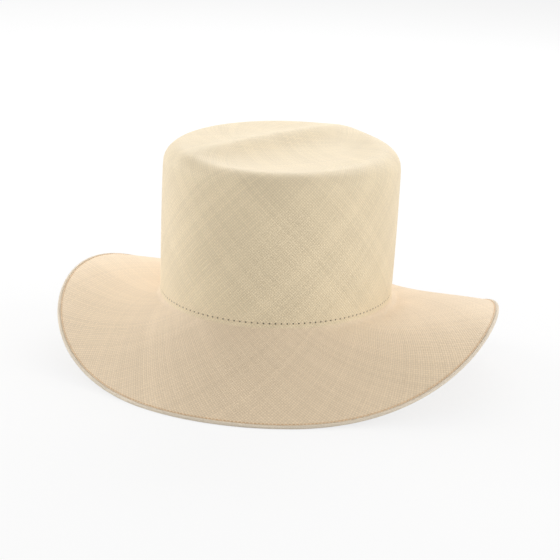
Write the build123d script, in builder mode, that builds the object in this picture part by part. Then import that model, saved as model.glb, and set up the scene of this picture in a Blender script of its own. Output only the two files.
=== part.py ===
"""Panama hat: a woven straw crown and brim, a wired hem and a sewn-in leather sweatband.

Millimetres, +Z up, the front toward -Y. The hat stands on the front and back of its hem at
Z = 0, with the crown's upright axis on X = Y = 0. The crown and brim meet at the break, the line
where the wall turns outward. Ring-shaped pieces are drawn in upright sections of the head oval.
"""

import os
from bisect import bisect_left
from math import acos, asin, cos, degrees, exp, hypot, pi, radians, sin

from build123d import *

# Head oval and weave
oval_half_length = 101.5  # outside of the crown at the break, centre to front
oval_half_width = 86.0  # outside of the crown at the break, centre to side
straw = 1.2  # thickness of the weave

# Crown
crown_height = 112.0  # break to the rim of the top
crown_flare = 1.4  # how far the wall has spread at the rim
crown_belly = 0.6  # how far it bows out halfway up, beyond that spread
rim_radius = 14.0
ridge_height = 4.5  # crest of the slanting ridge above the rim
ridge_half_width = 11.0
ridge_turn = 25.0  # degrees from the front-to-back line
ridge_offset = 17.0  # crest's distance from the crown's axis
front_dent = 7.0  # depth of the dish on the ridge's front side
back_dent = 2.5  # depth of the dish on its back side
dent_reach = 22.0  # distance over which the dishes fall away from the ridge

# Brim: slopes and bends in degrees, at an angle round the hat counted from the front
brim_width = 74.5  # along the weave, from the break's bend to the hem
break_radius = 4.5  # the bend between wall and brim
brim_fall = 26.0  # mean slope down and outward
brim_dip = 21.3  # extra slope at the front and back, and lift at the sides
brim_rear_lift = 6.6  # moves the highest part of each side towards the back
brim_corner = 2.2  # evens out the four quarters
brim_bend = 2.5  # half of the mean turn between the break's bend and the hem
brim_bend_swing = 12.0  # more bend at the front and back, less at the sides

# Hem, its wire and its stitching
wire_diameter = 0.8
sleeve_wall = 0.2
sleeve_length = 26.0
hem_wall = 0.55  # the folded straw round the wire
hem_fold_width = 3.0  # the part turned under the brim
hem_stitch_inset = 0.8  # stitch line from the brim's cut edge
rest_flat = 0.3  # how much the hem is pressed flat where the hat stands

# Sweatband
leather = 0.8
band_height = 36.0
band_lift = 1.0  # lower edge of the leather above the break
reed_diameter = 1.6
reed_drop = 2.2  # reed's axis below the break
tape = 0.4
tape_flange_height = 8.0  # above the break
patch_width = 12.0
patch_height = 22.0
bow_width = 24.0
bow_ribbon = 5.0
bow_ribbon_thickness = 0.4
bow_depth = 3.2
bow_tail_length = 11.0
bow_tail_turn = 28.0  # degrees from upright
bow_height = 12.0  # knot's centre above the break

# Needle holes and thread
needle_pitch = 4.3
needle_height = 2.8  # above the break
needle_hole_diameter = 0.9
thread_diameter = 0.4
zigzag_height = 3.0
zigzag_pitch = 3.6
cross_stitch_size = 5.0
cross_stitch_count = 3

# Clearances
seat = 0.05  # between pieces that lie against each other
running_fit = 0.08  # round the wire and its sleeve
layer_gap = 0.1  # between the layers of the sweatband
end_gap = 0.3  # between butted ends, at the back

stations = 36  # upright sections round the hat
round_turns = range(0, 360, 30)  # corners of a round bar
hem_corners = 12  # steps round the hem's bead and the reed's tube

thread_radius = thread_diameter / 2
wire_radius = wire_diameter / 2
sleeve_radius = wire_radius + running_fit + sleeve_wall
bore_radius = sleeve_radius + running_fit
hem_radius = bore_radius + hem_wall
reed_radius = reed_diameter / 2
reed_bore_radius = reed_radius + running_fit
reed_tube_radius = reed_bore_radius + tape

# Layers inward from the outside of the crown
tape_outside = straw + layer_gap
tape_inside = tape_outside + tape
leather_outside = tape_inside + layer_gap
leather_inside = leather_outside + leather


def direction(degrees_up):
    return Vector(cos(radians(degrees_up)), sin(radians(degrees_up)))


def across(degrees_up):
    """Square to direction, on its upper side."""
    return Vector(-sin(radians(degrees_up)), cos(radians(degrees_up)))


def brim_slope(angle):
    sides_and_ends = brim_dip * cos(2 * angle)
    rear = brim_rear_lift * (cos(3 * angle) - cos(angle))
    return -brim_fall - sides_and_ends + rear + brim_corner * cos(4 * angle)


def brim_half_turn(angle):
    return brim_bend + brim_bend_swing * cos(2 * angle)


def brim_curve(angle, below=0.0):
    """Points of the brim in its upright section: the break's bend, then the long gentle curve.

    The section's X is outward from the crown's outside and its Y is up from the break.
    """
    slope, turn = brim_slope(angle), brim_half_turn(angle)
    start_slope, end_slope = slope - turn, slope + turn
    centre = Vector(break_radius, 0)
    bend = [
        centre - across(tilt) * (break_radius + below)
        for tilt in (-90, (start_slope - 90) / 2, start_slope)
    ]
    inner = centre - across(start_slope) * break_radius
    chord = brim_width * (1 - radians(turn) ** 2 / 6)  # an arc's chord, to its second term
    outer = inner + direction(slope) * chord
    start = inner - across(start_slope) * below
    end = outer - across(end_slope) * below
    handle = brim_width / 3
    curve = [start, start + direction(start_slope) * handle, end - direction(end_slope) * handle, end]
    return bend, curve


def hem_frame(angle):
    """Edge of the brim's upper face, the direction outward along it, and the one square to it."""
    _, curve = brim_curve(angle)
    end_slope = brim_slope(angle) + brim_half_turn(angle)
    return curve[-1], direction(end_slope), across(end_slope)


def hem_centre(angle):
    edge, out, up = hem_frame(angle)
    return edge + out * (hem_radius + seat) - up * (straw / 2)


station_angles = [2 * pi * number / stations for number in range(stations)]
lowest_hem = min(hem_centre(angle).Y for angle in station_angles) - hem_radius
break_height = -lowest_hem - rest_flat


def wall_outset(height):
    """How far the crown's wall stands outside the head oval at this height above the break."""
    share = height / crown_height
    return crown_flare * share + 4 * crown_belly * share * (1 - share)


def station(angle):
    """Upright plane across the oval at this angle from the front: X outward, Y up."""
    outward = Vector(sin(angle) / oval_half_width, -cos(angle) / oval_half_length, 0).normalized()
    foot = (oval_half_width * sin(angle), -oval_half_length * cos(angle), break_height)
    return Plane(origin=foot, x_dir=outward, z_dir=outward.cross(Vector(0, 0, 1)))


def wall_plane(angle, inward, height):
    """Plane lying on the wall, or on a layer inside it: X along the oval, Y up, Z outward."""
    outset = wall_outset(height) - inward
    outward = Vector(sin(angle) / oval_half_width, -cos(angle) / oval_half_length, 0).normalized()
    foot = (
        (oval_half_width + outset) * sin(angle),
        -(oval_half_length + outset) * cos(angle),
        break_height + height,
    )
    return Plane(origin=foot, x_dir=Vector(0, 0, 1).cross(outward), z_dir=outward)


def even_angles(count, shift=0.0):
    """Angles that share the oval's girth evenly, found by stepping along it."""
    steps = 3600
    lengths = [0.0]
    for step in range(steps):
        angle = 2 * pi * (step + 0.5) / steps
        lengths.append(lengths[-1] + hypot(oval_half_width * cos(angle), oval_half_length * sin(angle)))
    wanted = [lengths[-1] * (number + shift) / count for number in range(count)]
    return [2 * pi * bisect_left(lengths, length) / steps for length in wanted]


def closed(section):
    """Sections at every station, the first one repeated so that the loft closes on itself."""
    faces = [section(angle) for angle in station_angles]
    return faces + faces[:1]


def in_place(points, angle):
    plane = station(angle)
    return [plane.from_local_coords(point) for point in points]


def ring(outline):
    """Closed bar round the hat: a smooth rail through each corner of its outline, ruled across.

    The outline is a function that gives the same number of corners at any angle. Every rail
    shares the same even parameters, so the bar keeps its outline between the stations too.
    """
    outlines = [in_place(outline(angle), angle) for angle in station_angles]
    marks = [number / stations for number in range(stations + 1)]
    rails = [Edge.make_spline(rail, periodic=True, parameters=marks) for rail in zip(*outlines)]
    strips = [Face.make_surface_from_curves(*pair) for pair in zip(rails, rails[1:] + rails[:1])]
    return Solid(Shell(strips))


def bar(outline, start, end):
    """Open bar between two angles, with a flat face at each end."""
    marks = [number / stations for number in range(stations + 1)]
    angles = [start + (end - start) * mark for mark in marks]
    outlines = [in_place(outline(angle), angle) for angle in angles]
    rails = [Edge.make_spline(rail, parameters=marks) for rail in zip(*outlines)]
    strips = [Face.make_surface_from_curves(*pair) for pair in zip(rails, rails[1:] + rails[:1])]
    ends = [Face(Wire.make_polygon(outlines[0])), Face(Wire.make_polygon(outlines[-1]))]
    return Solid(Shell(strips + ends))


def round_outline(centre, radius):
    """Outline of a round bar whose centre moves with the angle round the hat."""
    return lambda angle: [centre(angle) + direction(turn) * radius for turn in round_turns]


def oval_rings(outside, inside, low, high):
    """Sketches of an oval ring that follows the wall between two heights above the break."""
    rings = []
    for height in (low, (low + high) / 2, high):
        outer = wall_outset(height) - outside
        inner = wall_outset(height) - inside
        with BuildSketch(Plane.XY.offset(break_height + height)) as oval:
            Ellipse(oval_half_width + outer, oval_half_length + outer)
            Ellipse(oval_half_width + inner, oval_half_length + inner, mode=Mode.SUBTRACT)
        rings.append(oval.sketch)
    return rings


# Crown: the oval wall, cut by the dished and ridged top, rounded at the rim and hollowed out
def crown_top(x, y):
    """Height of the crown's top above the break."""
    turn = radians(ridge_turn)
    from_ridge = x * cos(turn) - y * sin(turn) + ridge_offset
    reach = hypot(x / (oval_half_width + crown_flare), y / (oval_half_length + crown_flare))
    fade = (1 - min(1, reach) ** 4) ** 2  # both fade out towards the wall
    ridge = ridge_height * exp(-((from_ridge / ridge_half_width) ** 2))
    depth = front_dent if from_ridge > 0 else back_dent
    dish = depth * (1 - exp(-((from_ridge / dent_reach) ** 2)))
    return crown_height + fade * (ridge - dish)


top_steps = 24
top_overhang = 1.15  # the surface reaches past the wall, so that it cuts right through
top_rows = [-top_overhang + 2 * top_overhang * number / top_steps for number in range(top_steps + 1)]
top_points = [
    [
        Vector(
            oval_half_width * across_share,
            oval_half_length * along_share,
            break_height + crown_top(oval_half_width * across_share, oval_half_length * along_share),
        )
        for across_share in top_rows
    ]
    for along_share in top_rows
]
top_surface = Face.make_surface_from_array_of_points(top_points, tol=0.02)

girth = Wire(Edge.make_ellipse(oval_half_width, oval_half_length)).length
needle_count = 2 * round(girth / needle_pitch / 2)
needle_spacing = girth / needle_count



def oval(height, inward):
    """Oval outline of the crown at a height above the break, on its outside or this far inside.

    It is drawn in two halves, so that no face made from it closes on itself.
    """
    width = oval_half_width + wall_outset(height) - inward
    length = oval_half_length + wall_outset(height) - inward
    with BuildSketch(Plane.XY.offset(break_height + height)) as outline:
        with BuildLine():
            EllipticalCenterArc((0, 0), width, length, start_angle=-90, arc_size=180)
            EllipticalCenterArc((0, 0), width, length, start_angle=90, arc_size=180)
        make_face()
    return outline.sketch


def crown_skins(inward):
    """Foot, walls, rims and top of the crown, from the lowest up."""
    with BuildPart() as block:
        loft([oval(height, inward) for height in (0, crown_height / 2, crown_height + 2 * ridge_height)])
        split(bisect_by=top_surface.moved(Location((0, 0, -inward))), keep=Keep.TOP)
        fillet(block.edges().sort_by(Axis.Z)[-2:], rim_radius - inward)
    return block.faces().sort_by(Axis.Z)


outside_foot, *outside_skins = crown_skins(0)
inside_foot, *inside_skins = crown_skins(straw)
hole_planes = [
    wall_plane(angle, straw / 2, needle_height) for angle in even_angles(needle_count, shift=0.5)
]
with BuildPart() as needle:
    with Locations(*hole_planes):
        Cylinder(needle_hole_diameter / 2, 2 * straw)

with BuildPart() as crown:
    add(Solid(Shell([*outside_skins, *inside_skins, (outside_foot - inside_foot).face()])))
    add(needle.part, mode=Mode.SUBTRACT)
crown.part.label = "crown"


# Brim: bent out from the wall, dipping at the front and back and lifting at the sides
def brim_section(angle):
    top_bend, top_curve = brim_curve(angle)
    under_bend, under_curve = brim_curve(angle, below=straw)
    with BuildSketch(station(angle)) as section:
        with BuildLine():
            ThreePointArc(*top_bend)
            Bezier(*top_curve)
            Line(top_curve[-1], under_curve[-1])
            Bezier(*reversed(under_curve))
            ThreePointArc(*reversed(under_bend))
            Line(under_bend[0], top_bend[0])
        make_face()
    return section.sketch.face()


with BuildPart() as brim:
    loft(closed(brim_section))
brim.part.label = "brim"


# Hem: the brim's edge rolled round a wire and turned under, pressed flat where the hat stands
def hem_outline(angle):
    _, out, up = hem_frame(angle)
    centre = hem_centre(angle)
    fold_top = straw / 2 + seat  # below the wire's axis
    fold_end = hem_radius + seat + hem_fold_width
    meeting = degrees(asin(fold_top / hem_radius))
    turns = [180 + meeting - (270 + meeting) * number / hem_corners for number in range(hem_corners + 1)]
    bead = [(hem_radius * cos(radians(turn)), hem_radius * sin(radians(turn))) for turn in turns]
    corners = [(-fold_end, -fold_top), *bead, (-fold_end, -hem_radius)]
    return [centre + out * along + up * above for along, above in corners]


with BuildPart() as brim_hem:
    add(ring(hem_outline))
    add(ring(round_outline(hem_centre, bore_radius)), mode=Mode.SUBTRACT)
    split(bisect_by=Plane.XY, keep=Keep.TOP)
brim_hem.part.label = "brim_hem"

# Brim wire, its ends butted at the back inside a sleeve
wire_half_gap = end_gap / 2 / (oval_half_width + brim_width)
with BuildPart() as brim_wire:
    add(bar(round_outline(hem_centre, wire_radius), wire_half_gap - pi, pi - wire_half_gap))
brim_wire.part.label = "brim_wire"

half_sleeve = sleeve_length / 2 / (oval_half_width + brim_width)
with BuildPart() as brim_wire_sleeve:
    add(bar(round_outline(hem_centre, sleeve_radius), pi - half_sleeve, pi + half_sleeve))
    add(
        bar(
            round_outline(hem_centre, wire_radius + running_fit),
            pi - 2 * half_sleeve,
            pi + 2 * half_sleeve,
        ),
        mode=Mode.SUBTRACT,
    )
brim_wire_sleeve.part.label = "brim_wire_sleeve"


# Hem thread: one strand along the upper side and one under the fold
def hem_upper_stitch(angle):
    edge, out, up = hem_frame(angle)
    return edge - out * hem_stitch_inset + up * (seat + thread_radius)


def hem_under_stitch(angle):
    edge, out, up = hem_frame(angle)
    return edge - out * hem_stitch_inset - up * (straw / 2 + hem_radius + seat + thread_radius)


with BuildPart() as brim_hem_thread:
    add(ring(round_outline(hem_upper_stitch, thread_radius)))
    add(ring(round_outline(hem_under_stitch, thread_radius)))
brim_hem_thread.part.label = "brim_hem_thread"

# Sweatband: a leather strip whose ends butt at the back
with BuildPart() as sweatband:
    loft(oval_rings(leather_outside, leather_inside, band_lift, band_lift + band_height))
    with Locations((0, oval_half_length, break_height + band_lift)):
        Box(end_gap, 4 * leather_inside, 3 * band_height, mode=Mode.SUBTRACT)
sweatband.part.label = "sweatband"


# Reed: a thin rod along the band's lower edge, its ends butted at the back
def reed_centre(angle):
    return Vector(-tape_outside - reed_tube_radius, -reed_drop)


reed_half_gap = end_gap / 2 / oval_half_width
with BuildPart() as sweatband_reed:
    add(bar(round_outline(reed_centre, reed_radius), reed_half_gap - pi, pi - reed_half_gap))
sweatband_reed.part.label = "sweatband_reed"


# Reed tape: a tube round the reed and a flange that stands between crown and leather
def tape_outline(angle):
    meeting = degrees(acos((reed_tube_radius - tape) / reed_tube_radius))
    turns = [-(360 - meeting) * number / hem_corners for number in range(hem_corners + 1)]
    tube = [reed_centre(angle) + direction(turn) * reed_tube_radius for turn in turns]
    flange_top = wall_outset(tape_flange_height)
    flange = [
        Vector(flange_top - tape_inside, tape_flange_height),
        Vector(flange_top - tape_outside, tape_flange_height),
    ]
    return [*tube, *flange]


with BuildPart() as reed_tape:
    add(ring(tape_outline))
    add(ring(round_outline(reed_centre, reed_bore_radius)), mode=Mode.SUBTRACT)
reed_tape.part.label = "reed_tape"

# Zigzag thread on the leather's inner face, joining its lower edge to the tape
zigzag_count = 2 * round(girth / zigzag_pitch / 2)
zigzag_step = girth / zigzag_count
zigzag_length = hypot(zigzag_height, zigzag_step) - 2 * thread_diameter
zigzag_centre = band_lift + thread_diameter + zigzag_height / 2
zigzag_inward = leather_inside + seat + thread_radius
with BuildPart() as zigzag_stitch:
    Cylinder(thread_radius, zigzag_length, rotation=(0, 90, 0))

zigzag_tilt = Vector(1, 0).get_angle(Vector(zigzag_step, zigzag_height))
zigzag_places = [
    Location(wall_plane(angle, zigzag_inward, zigzag_centre))
    * Location((0, 0, 0), (0, 0, zigzag_tilt * (-1) ** number))
    for number, angle in enumerate(even_angles(zigzag_count, shift=0.5))
]
with BuildPart() as sweatband_tape_thread:
    with Locations(*zigzag_places):
        add(zigzag_stitch.part)
sweatband_tape_thread.part.label = "sweatband_tape_thread"

# Sweatband thread: each stitch lies along the outside and goes in to the tape at one hole
with BuildPart() as needle_stitch:
    with Locations((-needle_spacing / 2, 0, 0)):
        Cylinder(
            thread_radius,
            needle_spacing - thread_diameter - seat,
            rotation=(0, 90, 0),
            align=(Align.CENTER, Align.CENTER, Align.MIN),
        )
        Cylinder(
            thread_radius,
            thread_radius + seat + straw + layer_gap / 2,
            align=(Align.CENTER, Align.CENTER, Align.MAX),
        )

stitch_planes = [
    wall_plane(angle, -seat - thread_radius, needle_height) for angle in even_angles(needle_count)
]
with BuildPart() as sweatband_thread:
    with Locations(*stitch_planes):
        add(needle_stitch.part)
sweatband_thread.part.label = "sweatband_thread"

# Patch behind the sweatband's back seam, above the tape's flange
patch_foot = tape_flange_height + layer_gap
with BuildPart() as sweatband_seam_patch:
    loft(oval_rings(tape_outside, tape_inside, patch_foot, patch_foot + patch_height))
    with Locations((0, oval_half_length, break_height)):
        Box(patch_width, oval_half_length, 4 * band_height, mode=Mode.INTERSECT)
sweatband_seam_patch.part.label = "sweatband_seam_patch"

# Cross stitches that close the back seam, above the bow
seam_room = band_lift + band_height - bow_height - bow_ribbon
with BuildPart() as sweatband_seam_thread:
    for number in range(cross_stitch_count):
        height = bow_height + bow_ribbon + seam_room * (number + 0.5) / cross_stitch_count
        face_plane = wall_plane(pi, leather_inside + seat + thread_radius, height)
        with Locations(face_plane):
            Cylinder(thread_radius, cross_stitch_size, rotation=(0, 90, 45))
            Cylinder(thread_radius, cross_stitch_size, rotation=(0, 90, -45))
sweatband_seam_thread.part.label = "sweatband_seam_thread"

# Bow: two flat loops, a knot and two tails of ribbon, laid on the leather at the back seam
back_radius = (oval_half_width - leather_inside) ** 2 / (oval_half_length - leather_inside)
bow_sag = (bow_width / 2) ** 2 / (2 * back_radius)  # how far the leather curves up at its ends
loop_length = bow_width / 2
with BuildPart() as flat_bow:
    with BuildSketch(Plane.XZ.offset(-bow_ribbon / 2)):
        for side in (-1, 1):
            with Locations((side * loop_length / 2, bow_sag + bow_depth / 2)):
                Ellipse(loop_length / 2, bow_depth / 2)
        for side in (-1, 1):
            with Locations((side * loop_length / 2, bow_sag + bow_depth / 2)):
                Ellipse(
                    loop_length / 2 - bow_ribbon_thickness,
                    bow_depth / 2 - bow_ribbon_thickness,
                    mode=Mode.SUBTRACT,
                )
    extrude(amount=bow_ribbon)
    for side in (-1, 1):
        with Locations(Location((0, 0, bow_sag), (0, 0, side * bow_tail_turn))):
            Box(
                bow_ribbon,
                bow_tail_length,
                bow_ribbon_thickness,
                align=(Align.CENTER, Align.MAX, Align.MIN),
            )
    Box(
        bow_ribbon,
        bow_ribbon + 2 * bow_ribbon_thickness,
        bow_sag + bow_depth,
        align=(Align.CENTER, Align.CENTER, Align.MIN),
    )

bow_foot = wall_plane(pi, leather_inside + seat, bow_height - bow_ribbon)  # the leather leans out
bow_plane = Plane(
    origin=bow_foot.origin + Vector(0, 0, bow_ribbon),
    x_dir=-bow_foot.x_dir,
    z_dir=-bow_foot.z_dir,
)
with BuildPart() as sweatband_bow:
    with Locations(bow_plane):
        add(flat_bow.part)
sweatband_bow.part.label = "sweatband_bow"

nodes = [
    crown,
    brim,
    brim_hem,
    brim_wire,
    brim_wire_sleeve,
    brim_hem_thread,
    sweatband,
    sweatband_reed,
    reed_tape,
    sweatband_tape_thread,
    sweatband_thread,
    sweatband_seam_patch,
    sweatband_seam_thread,
    sweatband_bow,
]
os.makedirs("parts", exist_ok=True)
for node in nodes:
    export_step(node.part, f"parts/{node.part.label}.step")
    size = node.part.bounding_box().size
    print(node.part.label, "solids", len(node.part.solids()), "size", size)
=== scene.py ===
import math

import bmesh
import bpy
from mathutils import Matrix, Vector, noise


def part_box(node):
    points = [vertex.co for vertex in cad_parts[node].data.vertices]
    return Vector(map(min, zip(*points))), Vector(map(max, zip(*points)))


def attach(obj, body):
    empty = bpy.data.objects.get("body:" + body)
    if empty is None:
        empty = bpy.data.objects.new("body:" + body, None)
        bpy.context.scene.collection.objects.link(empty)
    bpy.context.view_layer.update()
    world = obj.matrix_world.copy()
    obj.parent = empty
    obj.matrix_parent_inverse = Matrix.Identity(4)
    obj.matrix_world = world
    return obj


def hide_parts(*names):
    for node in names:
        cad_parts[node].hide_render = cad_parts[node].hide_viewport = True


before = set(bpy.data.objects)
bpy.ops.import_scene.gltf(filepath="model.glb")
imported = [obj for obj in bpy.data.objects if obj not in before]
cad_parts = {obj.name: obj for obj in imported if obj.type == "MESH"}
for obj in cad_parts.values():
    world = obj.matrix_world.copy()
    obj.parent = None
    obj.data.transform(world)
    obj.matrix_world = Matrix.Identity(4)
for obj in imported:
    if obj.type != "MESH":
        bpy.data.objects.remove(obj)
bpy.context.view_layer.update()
millimetre = 0.001

# The woven body: crown and brim are one weave of split toquilla straw, damped and pressed over
# a block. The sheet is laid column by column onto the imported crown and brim, closed at the back,
# given the weave's thickness, and opened at the row of needle holes.
straw_thickness = 1.2 * millimetre
needle_holes = 138
needle_height = 2.8 * millimetre
needle_hole_radius = 0.45 * millimetre
needle_row_in_wall = 3
columns = 2 * needle_holes
break_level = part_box("crown")[0].z
crown_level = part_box("crown")[1].z
crown_height = 112 * millimetre
crown_flare = 1.4 * millimetre
rim_radius = 14 * millimetre
rim_level = break_level + crown_height - rim_radius
brim_levels = 34
top_rings = 22


def cast(node, start, toward):
    """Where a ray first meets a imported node, or None where it misses."""
    hit, place, _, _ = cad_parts[node].ray_cast(Vector(start), Vector(toward))
    return place if hit else None


def feet_round_the_break():
    """Foot and outward direction of each column, evenly spaced along the break from the back."""
    half_width = cast("crown", (0.3, 0, break_level + 0.0003), (-1, 0, 0)).x
    half_length = cast("crown", (0, 0.3, break_level + 0.0003), (0, -1, 0)).y
    steps = 7200
    lengths = [0.0]
    for step in range(steps):
        angle = math.pi + 2 * math.pi * (step + 0.5) / steps
        run = math.hypot(half_width * math.cos(angle), half_length * math.sin(angle))
        lengths.append(lengths[-1] + run * 2 * math.pi / steps)
    places = []
    step = 0
    for column in range(columns + 1):
        while step < steps and lengths[step] < lengths[-1] * column / columns:
            step += 1
        angle = math.pi + 2 * math.pi * step / steps
        foot = Vector((half_width * math.sin(angle), -half_length * math.cos(angle), break_level))
        outward = Vector((math.sin(angle) / half_width, -math.cos(angle) / half_length, 0))
        places.append((foot, outward.normalized()))
    return places, lengths[-1]


feet, girth = feet_round_the_break()


def brim_place(foot, outward, out):
    """Point of the brim's upper face, this far out from the break."""
    start = foot + outward * out
    return cast("brim", (start.x, start.y, break_level + 0.02), (0, 0, -1))


def brim_reach(foot, outward):
    """How far out the brim's upper face goes in this column, found by halving."""
    near, far = 0.03, 0.12
    for _ in range(16):
        middle = (near + far) / 2
        near, far = (middle, far) if brim_place(foot, outward, middle) else (near, middle)
    return near - 0.02 * millimetre


def column_places(foot, outward):
    """Points of one column: from the brim's edge in, up the wall, over the rim to the middle."""
    bend = [out * millimetre for out in (0.25, 0.6, 1.2, 2.1, 3.3, 4.8, 6.6, 9.0)]
    reach = brim_reach(foot, outward)
    flat = [bend[-1] + (reach - bend[-1]) * level / brim_levels for level in range(1, brim_levels + 1)]
    brim = [brim_place(foot, outward, out) for out in reversed(bend + flat)]
    heights = [6.0] + [8 + 3 * level for level in range(30)]
    starts = [foot + outward * 0.05 + Vector((0, 0, height * millimetre)) for height in heights]
    wall = [cast("crown", start, -outward) for start in starts]
    low_heights = (0.4, 1.2, 2.0, needle_height / millimetre, 3.6, 4.6)
    wall = [foot.lerp(wall[0], height / heights[0]) for height in low_heights] + wall
    rim_centre = Vector((foot.x, foot.y, rim_level)) + outward * (crown_flare - rim_radius)
    tilts = [math.radians(tilt) for tilt in range(10, 91, 10)]
    aims = [outward * math.cos(tilt) + Vector((0, 0, math.sin(tilt))) for tilt in tilts]
    rim = [cast("crown", rim_centre + aim * 0.05, -aim) for aim in aims]
    shares = [1 - ring / top_rings for ring in range(1, top_rings + 1)]
    above = crown_level + 0.02
    top = [cast("crown", (rim_centre.x * share, rim_centre.y * share, above), (0, 0, -1)) for share in shares]
    return brim, wall, rim, top


body_columns = [column_places(*place) for place in feet]
brim_rows, wall_rows, rim_rows, top_rows = (len(run) for run in body_columns[0])
body_places = [[point for run in column for point in run] for column in body_columns]
rows = len(body_places[0])

bpy.ops.object.select_all(action="DESELECT")
bpy.ops.mesh.primitive_grid_add(x_subdivisions=columns, y_subdivisions=rows - 1, calc_uvs=True)
straw_body = bpy.context.object
straw_body.name = "straw_body"

# The weave's own lengths, as shares of the girth, so that its squares stay square: across is the
# place round the hat, and along grows with each step over the local girth.
local_girths = []
for row in range(rows):
    ring = [body_places[column][row] for column in range(columns + 1)]
    local_girths.append(max(sum((a - b).length for a, b in zip(ring, ring[1:])), 0.05))
along = []
for places in body_places:
    reaches = [0.0]
    for row in range(1, rows):
        step = (places[row] - places[row - 1]).length
        reaches.append(reaches[-1] + 2 * step / (local_girths[row] + local_girths[row - 1]))
    along.append([reach - reaches[brim_rows] for reach in reaches])

zones = [0.0] * brim_rows + [1.0] * (wall_rows + rim_rows)
zones += [1.0 + min(1.0, max(0.0, (ring - 4) / 5)) for ring in range(top_rows)]
zone = straw_body.data.attributes.new("zone", "FLOAT", "POINT")
for vertex in straw_body.data.vertices:
    row, column = divmod(vertex.index, columns + 1)
    vertex.co = body_places[column][row]
    zone.data[vertex.index].value = zones[row]
weave_map = straw_body.data.uv_layers[0]
weave_map.name = "weave"
for loop in straw_body.data.loops:
    row, column = divmod(loop.vertex_index, columns + 1)
    weave_map.data[loop.index].uv = (column / columns, along[column][row])

bpy.ops.object.mode_set(mode="EDIT")
bpy.ops.mesh.select_all(action="DESELECT")
bpy.ops.object.mode_set(mode="OBJECT")
needle_row = brim_rows + needle_row_in_wall
for vertex in straw_body.data.vertices:
    row, column = divmod(vertex.index, columns + 1)
    vertex.select = row == needle_row and column % 2 == 1

bpy.ops.object.mode_set(mode="EDIT")
bpy.ops.mesh.bevel(affect="VERTICES", offset=needle_hole_radius, segments=2)
bpy.ops.mesh.delete(type="FACE")
bpy.ops.mesh.select_all(action="SELECT")
bpy.ops.mesh.remove_doubles(threshold=0.02 * millimetre)
bpy.ops.mesh.normals_make_consistent(inside=False)
bpy.ops.object.mode_set(mode="OBJECT")


def give_thickness(piece, thickness, offset=-1.0):
    """Solid wall behind the outer face, with its rim, applied to the mesh."""
    bpy.context.view_layer.objects.active = piece
    wall = piece.modifiers.new("thickness", "SOLIDIFY")
    wall.thickness = thickness
    wall.offset = offset
    wall.use_quality_normals = True
    bpy.ops.object.modifier_apply(modifier=wall.name)


def smooth(piece, angle=40):
    bpy.ops.object.select_all(action="DESELECT")
    piece.select_set(True)
    bpy.context.view_layer.objects.active = piece
    bpy.ops.object.shade_smooth_by_angle(angle=math.radians(angle))


give_thickness(straw_body, straw_thickness)
smooth(straw_body)


class Finish:
    """A piece's material, with the few node steps that its sections share."""

    def __init__(self, name, roughness, specular=0.5):
        self.material = bpy.data.materials.new(name)
        self.material.use_nodes = True
        self.nodes = self.material.node_tree.nodes
        self.links = self.material.node_tree.links
        self.shader = self.nodes["Principled BSDF"]
        self.shader.inputs["Roughness"].default_value = roughness
        self.shader.inputs["Specular IOR Level"].default_value = specular

    def plug(self, value, socket):
        if hasattr(value, "links"):
            self.links.new(value, socket)
        else:
            socket.default_value = value

    def sum(self, operation, first, second=0.0, clamp=False):
        node = self.nodes.new("ShaderNodeMath")
        node.operation = operation
        node.use_clamp = clamp
        for socket, value in zip(node.inputs, (first, second)):
            self.plug(value, socket)
        return node.outputs[0]

    def blend(self, share, first, second):
        node = self.nodes.new("ShaderNodeMix")
        node.data_type = "RGBA"
        self.plug(share, node.inputs["Factor"])
        self.plug(first, node.inputs[6])
        self.plug(second, node.inputs[7])
        return node.outputs[2]

    def spread(self, value, low, high, new_low, new_high):
        node = self.nodes.new("ShaderNodeMapRange")
        for socket, number in zip(node.inputs, (value, low, high, new_low, new_high)):
            self.plug(number, socket)
        return node.outputs[0]

    def noise(self, place, scale, detail=2.0):
        node = self.nodes.new("ShaderNodeTexNoise")
        self.plug(place, node.inputs["Vector"])
        node.inputs["Scale"].default_value = scale
        node.inputs["Detail"].default_value = detail
        return node.outputs["Fac"]

    def chance(self, first, second):
        node = self.nodes.new("ShaderNodeTexWhiteNoise")
        node.noise_dimensions = "2D"
        pair = self.nodes.new("ShaderNodeCombineXYZ")
        self.plug(first, pair.inputs[0])
        self.plug(second, pair.inputs[1])
        self.links.new(pair.outputs[0], node.inputs["Vector"])
        return node.outputs["Value"]

    def place(self, output="Object"):
        return self.nodes.new("ShaderNodeTexCoord").outputs[output]

    def split(self, vector):
        node = self.nodes.new("ShaderNodeSeparateXYZ")
        self.links.new(vector, node.inputs[0])
        return node.outputs

    def bump(self, height, distance, strength):
        node = self.nodes.new("ShaderNodeBump")
        node.inputs["Distance"].default_value = distance
        node.inputs["Strength"].default_value = strength
        self.plug(height, node.inputs["Height"])
        self.links.new(node.outputs["Normal"], self.shader.inputs["Normal"])

    def paint(self, colour, light=None):
        """Base colour, scaled by a factor where one is given: for the straw it holds painted shade and the
        strands' tones, for the thread its tones.
        """
        if light is not None:
            scale = self.nodes.new("ShaderNodeVectorMath")
            scale.operation = "SCALE"
            self.plug(colour, scale.inputs[0])
            self.plug(light, scale.inputs["Scale"])
            colour = scale.outputs[0]
        self.links.new(colour, self.shader.inputs["Base Color"])

    def cover(self, piece):
        piece.data.materials.clear()
        piece.data.materials.append(self.material)


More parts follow.
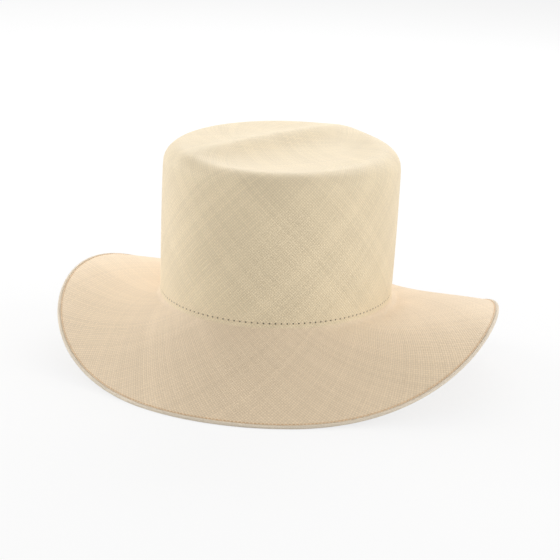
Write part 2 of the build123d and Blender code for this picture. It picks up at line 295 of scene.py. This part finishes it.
def plain_weave(finish, across, along, strands, seed):
    """Height and tone of a plain weave laid at 45 degrees, and the tone of its broad bands.

    Across and along are in shares of the girth, so a whole number of strands meets at the back.
    """
    first = finish.sum("MULTIPLY", finish.sum("ADD", across, along), strands)
    second = finish.sum("MULTIPLY", finish.sum("SUBTRACT", across, along), strands)
    band_strands = 8
    ridges, tones, bands = [], [], []
    for side, lean in enumerate((first, second)):
        share = finish.sum("FRACT", finish.sum("ADD", lean, 1000.0 * strands))
        ridges.append(finish.sum("SINE", finish.sum("MULTIPLY", share, math.pi)))
        number = finish.sum("FLOORED_MODULO", finish.sum("FLOOR", lean), strands)
        tones.append(finish.chance(number, seed + side))
        group = finish.sum("FLOOR", finish.sum("DIVIDE", lean, band_strands))
        group = finish.sum("FLOORED_MODULO", group, strands / band_strands)
        bands.append(finish.chance(group, seed + side + 7.0))
    squares = finish.sum("ADD", finish.sum("FLOOR", first), finish.sum("FLOOR", second))
    turn = finish.sum("FLOORED_MODULO", squares, 2.0)
    arch = finish.sum("MULTIPLY", ridges[0], ridges[1])
    upper = finish.spread(turn, 0, 1, ridges[0], ridges[1])
    height = finish.sum("ADD", finish.sum("MULTIPLY", arch, 0.6), finish.sum("MULTIPLY", 0.4, upper))
    tone = finish.spread(turn, 0, 1, tones[0], tones[1])
    band = finish.sum("MULTIPLY", finish.sum("ADD", bands[0], bands[1]), 0.5)
    return height, tone, band


def painted_hole_shade(finish, across, z):
    """Painted shade in and round the needle holes: 1 away from them, low at each hole's middle."""
    share = finish.sum("SUBTRACT", finish.sum("FRACT", finish.sum("MULTIPLY", across, needle_holes)), 0.5)
    sideways = finish.sum("MULTIPLY", share, girth / needle_holes)
    upward = finish.sum("SUBTRACT", z, break_level + needle_height)
    squares = finish.sum("ADD", finish.sum("POWER", sideways, 2.0), finish.sum("POWER", upward, 2.0))
    reach = finish.sum("SQRT", squares)
    return finish.spread(reach, needle_hole_radius, 1.7 * needle_hole_radius, 0.25, 1.0)


def straw_finish(name, crown_colour, brim_colour, wall_strands, brim_strands):
    """Split toquilla straw, bleached cream: a fine slanting weave whose strands vary in tone, with painted
    shade in the weave's hollows and round the needle holes.
    """
    straw = Finish(name, 0.62, 0.35)
    straw.shader.inputs["Sheen Weight"].default_value = 0.15
    across, along, _ = straw.split(straw.place("UV"))
    mark = straw.nodes.new("ShaderNodeAttribute")
    mark.attribute_name = "zone"
    on_crown = straw.sum("MINIMUM", mark.outputs["Fac"], 1.0)
    on_top = straw.sum("SUBTRACT", mark.outputs["Fac"], 1.0, clamp=True)
    x, y, z = straw.split(straw.place("Object"))
    brim = plain_weave(straw, across, along, brim_strands, 3.0)
    wall = plain_weave(straw, across, along, wall_strands, 11.0)
    top = plain_weave(straw, straw.sum("DIVIDE", x, girth), straw.sum("DIVIDE", y, girth), wall_strands, 23.0)
    # Painted shade: the straw's colour is darkened in and round each needle hole.
    hole_shade = painted_hole_shade(straw, across, z)
    height, tone, band = (
        straw.spread(on_top, 0, 1, straw.spread(on_crown, 0, 1, a, b), c) for a, b, c in zip(brim, wall, top)
    )
    cloud = straw.noise(straw.place("Object"), 22.0, 4.0)
    shade = straw.sum("ADD", straw.spread(tone, 0, 1, -0.05, 0.045), straw.spread(band, 0, 1, -0.03, 0.03))
    shade = straw.sum("ADD", shade, straw.spread(cloud, 0.3, 0.7, -0.02, 0.02))
    # Painted shade: the weave's low places, where one strand passes under another, are painted darker.
    shade = straw.sum("ADD", shade, straw.spread(height, 0.2, 1.0, -0.12, 0.06))
    colour = straw.blend(on_crown, brim_colour, crown_colour)
    straw.paint(colour, straw.sum("MULTIPLY", straw.sum("ADD", 1.0, shade), hole_shade))
    straw.bump(height, 0.25 * millimetre, 0.6)
    return straw


def linear(red, green, blue):
    """Colour given as it looks on a screen, 0 to 255."""
    shares = (red / 255, green / 255, blue / 255)
    return tuple(((share + 0.055) / 1.055) ** 2.4 for share in shares) + (1.0,)


woven_straw = straw_finish("woven_straw", linear(236, 218, 184), linear(235, 213, 182), 262, 372)
woven_straw.cover(straw_body)
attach(straw_body, "root")
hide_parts("crown", "brim")

# The hem: the brim's edge is rolled round a spring wire and turned under, then pressed. The bead
# and its fold are one strip that follows the brim's edge, flattened where the hat stands.
hem_radius = 1.31 * millimetre
hem_fold_width = 3 * millimetre
hem_gap = 0.05 * millimetre
hem_fold_top = straw_thickness / 2 + hem_gap
edge_frames = []
for column in range(columns):
    edge, inner = body_places[column][0], body_places[column][2]
    out = (edge - inner).normalized()
    ahead = body_places[(column + 1) % columns][0] - body_places[column - 1][0]
    up = ahead.cross(out).normalized()
    up = up if up.z > 0 else -up
    edge_frames.append((edge, out, up, ahead.normalized()))


def strip_round_the_hat(name, frames, outline):
    """Closed strip whose outline, as (out, up) pairs, is set square to each frame."""
    sheet = bmesh.new()
    rings = []
    for number, (origin, out, up, _) in enumerate(frames):
        rings.append([sheet.verts.new(origin + out * a + up * b) for a, b in outline(number)])
    lay = sheet.loops.layers.uv.new("weave")
    size = len(rings[0])
    for number, ring in enumerate(rings):
        following = rings[(number + 1) % len(rings)]
        for corner in range(size):
            after = (corner + 1) % size
            face = sheet.faces.new((ring[corner], following[corner], following[after], ring[after]))
            for loop, (a, b) in zip(face.loops, ((0, 0), (1, 0), (1, 1), (0, 1))):
                loop[lay].uv = ((number + a) / len(rings), (corner + b) / size)
    bmesh.ops.recalc_face_normals(sheet, faces=sheet.faces)
    mesh = bpy.data.meshes.new(name)
    sheet.to_mesh(mesh)
    sheet.free()
    piece = bpy.data.objects.new(name, mesh)
    bpy.context.collection.objects.link(piece)
    return piece


def hem_outline(number):
    swell = 1 + 0.035 * noise.noise(edge_frames[number][0] * 260)
    radius = hem_radius * swell
    centre_out, centre_up = hem_radius + hem_gap, -straw_thickness / 2
    turns = [math.radians(207 - 297 * step / 18) for step in range(19)]
    bead = [(centre_out + radius * math.cos(turn), centre_up + radius * math.sin(turn)) for turn in turns]
    bottom = centre_up - radius
    inner = -hem_fold_width
    fold = [(inner * 0.5, bottom), (inner, bottom), (inner - 0.0001, (bottom + centre_up - hem_fold_top) / 2)]
    return bead + fold + [(inner, centre_up - hem_fold_top)]


rolled_hem = strip_round_the_hat("rolled_hem", edge_frames, hem_outline)
for vertex in rolled_hem.data.vertices:
    vertex.co.z = max(vertex.co.z, 0)
smooth(rolled_hem)
# The hem's straw is painted paler than the body's straw, as painted light on the rolled bead.
hem_finish = straw_finish("hem_straw", linear(244, 230, 208), linear(244, 230, 208), 512, 512)
hem_finish.cover(rolled_hem)
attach(rolled_hem, "root")
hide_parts("brim_hem")

# The hem's stitching: a row of tan thread along the brim's edge and one under the fold. Each
# stitch is a short plump bead of thread, tapered where it goes into the straw.
stitch_length = 2.2 * millimetre
stitch_gap = 0.5 * millimetre
thread_radius = 0.2 * millimetre
hem_stitch_inset = 0.8 * millimetre


def stitches(name, places, length, radius):
    """One mesh of like stitches. Places are (middle, along, up) triples."""
    bpy.ops.object.select_all(action="DESELECT")
    bpy.ops.mesh.primitive_uv_sphere_add(segments=6, ring_count=6, radius=1)
    pattern = bpy.context.object
    shape = pattern.data
    row = bmesh.new()
    for middle, ahead, up in places:
        side = up.cross(ahead).normalized()
        above = ahead.cross(side).normalized()
        turn = Matrix((ahead.normalized(), side, above)).transposed().to_4x4()
        size = Matrix.Diagonal((radius, radius, length / 2, 1))
        before = len(row.verts)
        row.from_mesh(shape)
        row.verts.ensure_lookup_table()
        upright = Matrix(((0, 0, 1, 0), (0, 1, 0, 0), (-1, 0, 0, 0), (0, 0, 0, 1)))
        change = Matrix.Translation(middle) @ turn @ upright @ size
        for vertex in row.verts[before:]:
            vertex.co = change @ vertex.co
    mesh = bpy.data.meshes.new(name)
    bmesh.ops.recalc_face_normals(row, faces=row.faces)
    row.to_mesh(mesh)
    row.free()
    piece = bpy.data.objects.new(name, mesh)
    bpy.context.collection.objects.link(piece)
    bpy.data.objects.remove(pattern)
    smooth(piece, 80)
    return piece


def along_the_edge(inset, rise):
    """Middles of the hem's stitches: the offset edge line, walked at an even pitch."""
    line = [edge - out * inset + up * rise for edge, out, up, _ in edge_frames]
    line.append(line[0])
    total = sum((a - b).length for a, b in zip(line, line[1:]))
    count = round(total / (stitch_length + stitch_gap))
    pitch = total / count
    places, walked, wanted = [], 0.0, pitch / 2
    for number, (start, end) in enumerate(zip(line, line[1:])):
        run = (end - start).length
        while wanted <= walked + run and len(places) < count:
            share = (wanted - walked) / run
            places.append((start.lerp(end, share), (end - start).normalized(), edge_frames[number][2]))
            wanted += pitch
        walked += run
    return places


upper_row = along_the_edge(hem_stitch_inset, 0.02 * millimetre + thread_radius / 2)
under_row = along_the_edge(hem_stitch_inset, -straw_thickness / 2 - hem_radius - thread_radius / 2)
hem_stitches = stitches("hem_stitches", upper_row + under_row, stitch_length, 1.2 * thread_radius)
for vertex in hem_stitches.data.vertices:
    vertex.co.z = max(vertex.co.z, 0)


def thread_finish(name, colour):
    """Twisted thread: a fine diagonal twist in the bump and a little tone from place to place."""
    thread = Finish(name, 0.55, 0.3)
    x, y, z = thread.split(thread.place("Object"))
    twist_pitch = 0.5 * millimetre
    slant = thread.sum("ADD", thread.sum("ADD", x, y), z)
    twist = thread.sum("SINE", thread.sum("MULTIPLY", slant, 2 * math.pi / twist_pitch))
    cloud = thread.noise(thread.place("Object"), 400.0)
    thread.paint(colour[:3], thread.spread(cloud, 0.2, 0.8, 0.8, 1.15))
    thread.bump(twist, 0.05 * millimetre, 0.5)
    return thread


thread_finish("hem_thread", linear(224, 186, 142)).cover(hem_stitches)
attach(hem_stitches, "root")
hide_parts("brim_hem_thread")

# The sweatband's stitching: pale thread that goes in at each needle hole and lies outside
# between two holes. It holds the band's tape to the straw.
hole_places = [body_places[column][needle_row] for column in range(1, columns, 2)]
band_stitch_places = []
for number, hole in enumerate(hole_places):
    following = hole_places[(number + 1) % needle_holes]
    middle = (hole + following) / 2
    ahead = (following - hole).normalized()
    outward = feet[(2 * number + 2) % columns][1]
    band_stitch_places.append((middle + outward * 0.1 * millimetre, ahead, outward))
band_stitches = stitches("band_stitches", band_stitch_places, 2.9 * millimetre, 0.24 * millimetre)
band_thread = thread_finish("band_thread", linear(240, 222, 196))
band_thread.cover(band_stitches)
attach(band_stitches, "root")
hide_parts("sweatband_thread")

# The sweatband: a strip of tan leather, butted at the back, that stands a little off the wall
# towards its upper edge. It is a sheet laid inside the wall and given the leather's thickness.
leather_thickness = 0.8 * millimetre
leather_depth = 1.8 * millimetre
band_low = 1 * millimetre
band_high = 37 * millimetre
band_rows = 24
top_lean = 1.4 * millimetre
end_gap = 0.3 * millimetre


def wall_point(column, level):
    """Outer face of the wall at a height above the break."""
    wall = body_columns[column][1]
    for lower, upper in zip(wall, wall[1:]):
        if upper.z - break_level >= level:
            share = (level - lower.z + break_level) / (upper.z - lower.z)
            return lower.lerp(upper, share)
    return wall[-1]


def leather_lean(foot, share):
    """How far the leather has waved off the wall at a share of its height."""
    wave = 0.5 + 0.5 * noise.noise(Vector((foot.x, foot.y, 0)) * 28)
    return top_lean * wave * share ** 2


bpy.ops.object.select_all(action="DESELECT")
bpy.ops.mesh.primitive_grid_add(x_subdivisions=columns, y_subdivisions=band_rows, calc_uvs=True)
leather_band = bpy.context.object
leather_band.name = "leather_band"
for vertex in leather_band.data.vertices:
    row, column = divmod(vertex.index, columns + 1)
    share = row / band_rows
    foot, outward = feet[column]
    depth = leather_depth + leather_lean(foot, share)
    place = wall_point(column, band_low + (band_high - band_low) * share) - outward * depth
    if column in (0, columns):
        place.x += end_gap / 2 * (1 if column else -1)
    vertex.co = place
band_map = leather_band.data.uv_layers[0]
band_map.name = "leather"
bpy.ops.object.mode_set(mode="EDIT")
bpy.ops.mesh.select_all(action="SELECT")
bpy.ops.mesh.normals_make_consistent(inside=True)
bpy.ops.object.mode_set(mode="OBJECT")
give_thickness(leather_band, leather_thickness, offset=1.0)
smooth(leather_band)

leather = Finish("band_leather", 0.48, 0.45)
grain = leather.nodes.new("ShaderNodeTexVoronoi")
grain.feature = "DISTANCE_TO_EDGE"
leather.links.new(leather.place("Object"), grain.inputs["Vector"])
grain.inputs["Scale"].default_value = 1 / (0.9 * millimetre)
pores = leather.spread(grain.outputs["Distance"], 0.0, 0.12, 0.0, 1.0)
patches = leather.noise(leather.place("Object"), 45.0, 5.0)
hide = leather.blend(patches, linear(176, 122, 74), linear(202, 150, 98))
leather.paint(leather.blend(leather.spread(pores, 0, 1, 0.25, 0), hide, linear(120, 78, 44)))
leather.links.new(leather.spread(patches, 0.3, 0.7, 0.4, 0.56), leather.shader.inputs["Roughness"])
leather.bump(pores, 0.08 * millimetre, 0.5)
leather.cover(leather_band)
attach(leather_band, "root")
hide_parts("sweatband")

# The reed tape: cotton tape wrapped round a thin rod below the leather's edge, its flange
# standing up between leather and straw.
reed_drop = 2.2 * millimetre
tube_radius = 1.28 * millimetre
tape_outside = 1.3 * millimetre
tape_thickness = 0.4 * millimetre
tape_rise = 8 * millimetre
tape_frames = [(foot, outward, Vector((0, 0, 1)), None) for foot, outward in feet[:columns]]


def tape_outline(number):
    centre = -tape_outside - tube_radius
    meeting = math.acos((tube_radius - tape_thickness) / tube_radius)
    turns = [-(2 * math.pi - meeting) * step / 16 for step in range(17)]
    tube = [
        (centre + tube_radius * math.cos(turn), tube_radius * math.sin(turn) - reed_drop) for turn in turns
    ]
    flare = 0.25 * millimetre
    return tube + [(flare - tape_outside - tape_thickness, tape_rise), (flare - tape_outside, tape_rise)]


cotton_tape = strip_round_the_hat("cotton_tape", tape_frames, tape_outline)
smooth(cotton_tape, 50)
cotton = Finish("tape_cotton", 0.85, 0.2)
tape_across, tape_along, _ = cotton.split(cotton.place("UV"))
rib = cotton.sum("SINE", cotton.sum("MULTIPLY", tape_across, 2 * math.pi * 900))
cross = cotton.sum("SINE", cotton.sum("MULTIPLY", tape_along, 2 * math.pi * 24))
tape_weave = cotton.sum("MULTIPLY", rib, cross)
tape_share = cotton.spread(tape_weave, -1, 1, 0, 1)
tape_colour = cotton.blend(tape_share, linear(196, 184, 160), linear(232, 224, 206))
tape_height = cotton.split(cotton.place("Object"))[2]
# Painted shade: a dark brown spot on the cream tape behind each needle hole.
tape_colour = cotton.blend(painted_hole_shade(cotton, tape_across, tape_height), linear(60, 44, 30), tape_colour)
cotton.paint(tape_colour)
cotton.bump(tape_weave, 0.06 * millimetre, 0.5)
cotton.cover(cotton_tape)
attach(cotton_tape, "root")
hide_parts("reed_tape")

# Zigzag stitching on the leather's face, which joins its lower edge to the tape.
zigzag_height = 3 * millimetre
zigzag_low = band_low + 0.4 * millimetre
zigzag_count = 164
zigzag_places = []
for number in range(zigzag_count):
    column = (number + 0.5) * columns / zigzag_count
    low_column = int(column)
    foot = feet[low_column][0].lerp(feet[low_column + 1][0], column - low_column)
    outward = feet[low_column][1].lerp(feet[low_column + 1][1], column - low_column).normalized()
    sideways = Vector((0, 0, 1)).cross(outward).normalized()
    slant = sideways * girth / zigzag_count + Vector((0, 0, zigzag_height)) * (-1) ** number
    level = Vector((0, 0, zigzag_low + zigzag_height / 2))
    depth = leather_depth + leather_thickness + 0.1 * millimetre
    zigzag_places.append((foot + level - outward * depth, slant.normalized(), -outward))
zigzag_stitches = stitches("zigzag_stitches", zigzag_places, 4.2 * millimetre, 0.22 * millimetre)
band_thread.cover(zigzag_stitches)
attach(zigzag_stitches, "root")
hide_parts("sweatband_tape_thread")

# The backing patch: a short piece of the same tape, glued behind the leather's butted ends.
patch_low, patch_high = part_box("sweatband_seam_patch")
patch_columns, patch_rows = 8, 10
bpy.ops.object.select_all(action="DESELECT")
bpy.ops.mesh.primitive_grid_add(x_subdivisions=patch_columns, y_subdivisions=patch_rows, calc_uvs=True)
backing_patch = bpy.context.object
backing_patch.name = "backing_patch"
for vertex in backing_patch.data.vertices:
    row, column = divmod(vertex.index, patch_columns + 1)
    across = patch_low.x + (patch_high.x - patch_low.x) * column / patch_columns
    level = patch_low.z + (patch_high.z - patch_low.z) * row / patch_rows
    sag = across ** 2 * math.pi / girth
    vertex.co = (across, patch_high.y - tape_thickness - sag, level)
give_thickness(backing_patch, tape_thickness, offset=0.0)
smooth(backing_patch)
cotton.cover(backing_patch)
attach(backing_patch, "root")
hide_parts("sweatband_seam_patch")

# Cross stitches: three crosses of pale thread that hold the leather's two ends together.
cross_size = 5 * millimetre
cross_count = 3
cross_low, cross_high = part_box("sweatband_seam_thread")
cross_half = cross_size * math.sqrt(0.5) / 2
cross_places = []
for number in range(cross_count):
    climb = (cross_high.z - cross_low.z - 2 * cross_half) * number / (cross_count - 1)
    level = cross_low.z + cross_half + climb
    share = (level - break_level - band_low) / (band_high - band_low)
    depth = leather_depth + leather_lean(feet[0][0], share) + leather_thickness + 0.15 * millimetre
    face = wall_point(0, level - break_level).y - depth
    for side in (-1, 1):
        slant = Vector((side, 0, 1)).normalized()
        cross_places.append((Vector((0, face, level)), slant, Vector((0, -1, 0))))
cross_stitches = stitches("cross_stitches", cross_places, cross_size, 0.24 * millimetre)
band_thread.cover(cross_stitches)
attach(cross_stitches, "root")
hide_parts("sweatband_seam_thread")

# The bow: one narrow grosgrain ribbon, tied flat in two loops over the seam, with a knot and
# two short tails.
ribbon_width = 5 * millimetre
ribbon_thickness = 0.4 * millimetre
tail_length = 11 * millimetre
tail_turn = math.radians(28)
bow_low, bow_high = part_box("sweatband_bow")
bow_level = bow_high.z - 0.5 * ribbon_width
bow_face = bow_high.y - 0.2 * millimetre
bow_depth = 3.2 * millimetre
loop_length = (bow_high.x - bow_low.x) / 2 - ribbon_thickness


def ribbon(name, lines):
    """Ribbon through rows of (lower, upper) edge points."""
    band = bmesh.new()
    lay = band.loops.layers.uv.new("ribbon")
    rows = [(band.verts.new(lower), band.verts.new(upper)) for lower, upper in lines]
    for number, (first, second) in enumerate(zip(rows, rows[1:])):
        face = band.faces.new((first[0], second[0], second[1], first[1]))
        for loop, (a, b) in zip(face.loops, ((0, 0), (1, 0), (1, 1), (0, 1))):
            loop[lay].uv = ((number + a) / len(rows), b)
    mesh = bpy.data.meshes.new(name)
    band.to_mesh(mesh)
    band.free()
    piece = bpy.data.objects.new(name, mesh)
    bpy.context.collection.objects.link(piece)
    give_thickness(piece, ribbon_thickness, offset=0.0)
    return piece


ribbons = []
for side in (-1, 1):
    loop_rows = []
    for step in range(25):
        turn = 2 * math.pi * step / 24
        out = 0.5 - 0.5 * math.cos(turn)
        width = ribbon_width * (0.6 + 0.4 * math.sin(math.pi * out / 2))
        swell = 0.42 * bow_depth * math.sin(turn) * (0.4 + 0.6 * out)
        place = Vector((side * loop_length * out, bow_face - bow_depth / 2 - swell, bow_level))
        rise = Vector((0, 0.06 * width * math.sin(turn), width / 2))
        loop_rows.append((place - rise, place + rise))
    ribbons.append(ribbon("bow_loop", loop_rows))
    tail_rows = []
    for step in range(9):
        share = step / 8
        down = Vector((side * math.sin(tail_turn), 0, -math.cos(tail_turn)))
        sideways = Vector((math.cos(tail_turn), 0, side * math.sin(tail_turn)))
        curl = Vector((0, -0.5 * millimetre * math.sin(share * math.pi), 0))
        width = ribbon_width * (0.55 + 0.35 * min(1, 2 * share))
        place = Vector((0, bow_face - 0.3 * millimetre, bow_level)) + down * tail_length * share + curl
        slant = down * width * 0.35 * (1 if step == 8 else 0)
        tail_rows.append((place - sideways * width / 2, place + sideways * width / 2 + slant))
    ribbons.append(ribbon("bow_tail", tail_rows))
knot_rows = []
for step in range(17):
    turn = 2 * math.pi * step / 16
    width = 0.85 * ribbon_width
    depth = bow_depth * (0.5 + 0.52 * math.sin(turn))
    place = Vector((0, bow_face - depth, bow_level + 0.48 * ribbon_width * math.cos(turn)))
    sideways = Vector((width / 2 * (1 - 0.15 * abs(math.sin(turn))), 0, 0))
    knot_rows.append((place - sideways, place + sideways))
ribbons.append(ribbon("bow_knot", knot_rows))
bpy.ops.object.select_all(action="DESELECT")
for piece in ribbons:
    piece.select_set(True)
bpy.context.view_layer.objects.active = ribbons[0]
bpy.ops.object.join()
ribbon_bow = ribbons[0]
ribbon_bow.name = "ribbon_bow"
smooth(ribbon_bow, 50)
grosgrain = Finish("bow_ribbon", 0.6, 0.3)
ribbon_across, _, _ = grosgrain.split(grosgrain.place("UV"))
ribs = grosgrain.sum("SINE", grosgrain.sum("MULTIPLY", ribbon_across, 2 * math.pi * 40))
rib_share = grosgrain.spread(ribs, -1, 1, 0, 1)
grosgrain.paint(grosgrain.blend(rib_share, linear(88, 56, 36), linear(120, 82, 54)))
grosgrain.bump(ribs, 0.08 * millimetre, 0.6)
grosgrain.cover(ribbon_bow)
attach(ribbon_bow, "root")
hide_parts("sweatband_bow")

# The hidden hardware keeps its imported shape: the hem's spring wire, the brass tube that joins
# its ends, and the plastic rod in the tape.
def plain_finish(name, roughness, metallic, grain, dark, light):
    """One material whose colour drifts a little between two tones."""
    plain = Finish(name, roughness)
    plain.shader.inputs["Metallic"].default_value = metallic
    plain.paint(plain.blend(plain.noise(plain.place("Object"), grain), dark, light))
    return plain


steel = plain_finish("spring_wire", 0.3, 1.0, 900.0, linear(150, 150, 152), linear(196, 196, 198))
steel.cover(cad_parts["brim_wire"])
brass = plain_finish("brass_sleeve", 0.32, 1.0, 700.0, linear(176, 140, 74), linear(214, 182, 110))
brass.cover(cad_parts["brim_wire_sleeve"])
rod = plain_finish("reed_rod", 0.5, 0.0, 300.0, linear(214, 210, 200), linear(232, 230, 222))
rod.cover(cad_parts["sweatband_reed"])

# The floor and the light: a white sweep, one broad lamp behind and above, one on each side, a
# weak one in front, and an even sky.
bpy.ops.object.select_all(action="DESELECT")
bpy.ops.mesh.primitive_plane_add(size=30, location=(0, 0, -0.0002))
floor = bpy.context.object
floor.name = "floor"
paper = Finish("white_paper", 0.9, 0.0)
paper.shader.inputs["Base Color"].default_value = (0.8, 0.8, 0.8, 1)
rays = paper.nodes.new("ShaderNodeLightPath")
seen = paper.sum("MAXIMUM", rays.outputs["Is Glossy Ray"], rays.outputs["Is Transmission Ray"])
seen = paper.sum("MAXIMUM", rays.outputs["Is Camera Ray"], seen)
glow = paper.nodes.new("ShaderNodeEmission")
glow.inputs["Strength"].default_value = 1.0
mixer = paper.nodes.new("ShaderNodeMixShader")
paper.links.new(paper.sum("MULTIPLY", seen, 0.8), mixer.inputs[0])
paper.links.new(paper.shader.outputs[0], mixer.inputs[1])
paper.links.new(glow.outputs[0], mixer.inputs[2])
paper.links.new(mixer.outputs[0], paper.nodes["Material Output"].inputs["Surface"])
paper.cover(floor)


def lamp(name, place, aim, size, power):
    light = bpy.data.lights.new(name, "AREA")
    light.shape = "RECTANGLE"
    light.size, light.size_y = size
    light.energy = power
    piece = bpy.data.objects.new(name, light)
    bpy.context.collection.objects.link(piece)
    piece.location = place
    piece.rotation_euler = (Vector(aim) - Vector(place)).to_track_quat("-Z", "Y").to_euler()


lamp("lamp_behind", (-0.1, 1.4, 1.05), (0, 0, 0.1), (1.4, 0.8), 15)
lamp("lamp_left", (-1.4, 0.2, 0.6), (0, 0, 0.1), (1.0, 1.0), 12)
lamp("lamp_right", (1.4, 0.4, 0.6), (0, 0, 0.1), (1.0, 1.0), 9)
lamp("lamp_front", (0.3, -1.8, 0.5), (0, 0, 0.1), (1.0, 1.0), 3)
sky = bpy.data.worlds.new("sky")
bpy.context.scene.world = sky
sky.use_nodes = True
sky_nodes = sky.node_tree.nodes
sky_links = sky.node_tree.links
even = sky_nodes["Background"]
even.inputs["Color"].default_value = (1, 1, 1, 1)
even.inputs["Strength"].default_value = 0.6
backdrop = sky_nodes.new("ShaderNodeBackground")
backdrop.inputs["Strength"].default_value = 1.0
sky_rays = sky_nodes.new("ShaderNodeLightPath")
sky_mix = sky_nodes.new("ShaderNodeMixShader")
sky_seen = sky_nodes.new("ShaderNodeMath")
sky_seen.operation = "MAXIMUM"
sky_links.new(sky_rays.outputs["Is Camera Ray"], sky_seen.inputs[0])
sky_links.new(sky_rays.outputs["Is Transmission Ray"], sky_seen.inputs[1])
sky_links.new(sky_seen.outputs[0], sky_mix.inputs[0])
sky_links.new(even.outputs[0], sky_mix.inputs[1])
sky_links.new(backdrop.outputs[0], sky_mix.inputs[2])
sky_links.new(sky_mix.outputs[0], sky_nodes["World Output"].inputs["Surface"])

# The camera: a long lens in front and a little towards +X, 16 degrees up, leaned slightly.
aim = Vector((0, 0, break_level + 3.5 * millimetre))
turn, rise, lean, distance = math.radians(15.5), math.radians(16), math.radians(2.8), 1.6
back = Vector((math.sin(turn) * math.cos(rise), -math.cos(turn) * math.cos(rise), math.sin(rise)))
view = bpy.data.cameras.new("camera")
view.sensor_width = 36
view.lens = 1320 * distance / 560 * 36
view.shift_x = 0.0057
view.shift_y = 0.0075
camera = bpy.data.objects.new("camera", view)
bpy.context.collection.objects.link(camera)
camera.location = aim + back * distance
roll = Matrix.Rotation(lean, 3, "Z").to_quaternion()
camera.rotation_euler = (back.to_track_quat("Z", "Y") @ roll).to_euler()
bpy.context.scene.camera = camera
bpy.context.scene.view_settings.view_transform = "Standard"
